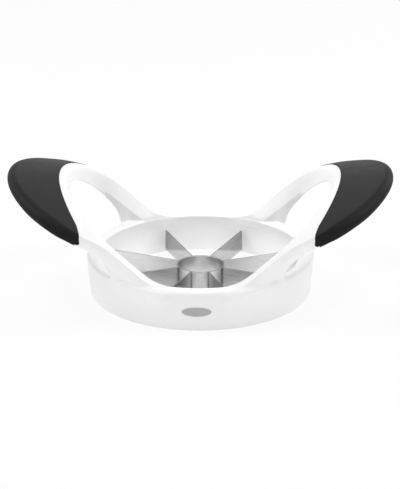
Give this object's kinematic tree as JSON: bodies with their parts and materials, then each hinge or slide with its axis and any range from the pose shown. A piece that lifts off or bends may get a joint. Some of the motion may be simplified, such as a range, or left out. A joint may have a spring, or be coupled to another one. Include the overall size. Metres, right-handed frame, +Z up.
{
  "type": "apple slicer and corer",
  "caption": "Push-down apple slicer: drafted drum with radial wedge blades round a core ring, and two raised handle loops with soft grips.",
  "frame": {"origin": "centre of the drum's bottom face, where the drum axis meets the surface it stands on", "axes": "+Z up along the drum axis, +X towards the right-hand handle loop, the badge plate faces -Y"},
  "size_m": [0.2032, 0.122, 0.0679],
  "materials": {
    "white_plastic": "satin moulded white plastic",
    "ring_steel": "rolled and ground stainless steel",
    "blade_steel": "brushed stainless steel",
    "soft_grip": "fine matt soft-touch black",
    "badge_grey": "plain satin grey"
  },
  "bodies": {
    "root": {"body_frame": "white_plastic", "base_ring": "white_plastic", "core_ring": "ring_steel", "blade_1": "blade_steel", "blade_2": "blade_steel", "blade_3": "blade_steel", "blade_4": "blade_steel", "blade_5": "blade_steel", "blade_6": "blade_steel", "blade_7": "blade_steel", "blade_8": "blade_steel", "grip_left": "soft_grip", "grip_right": "soft_grip", "badge_plate": "badge_grey"}
  },
  "joints": []
}
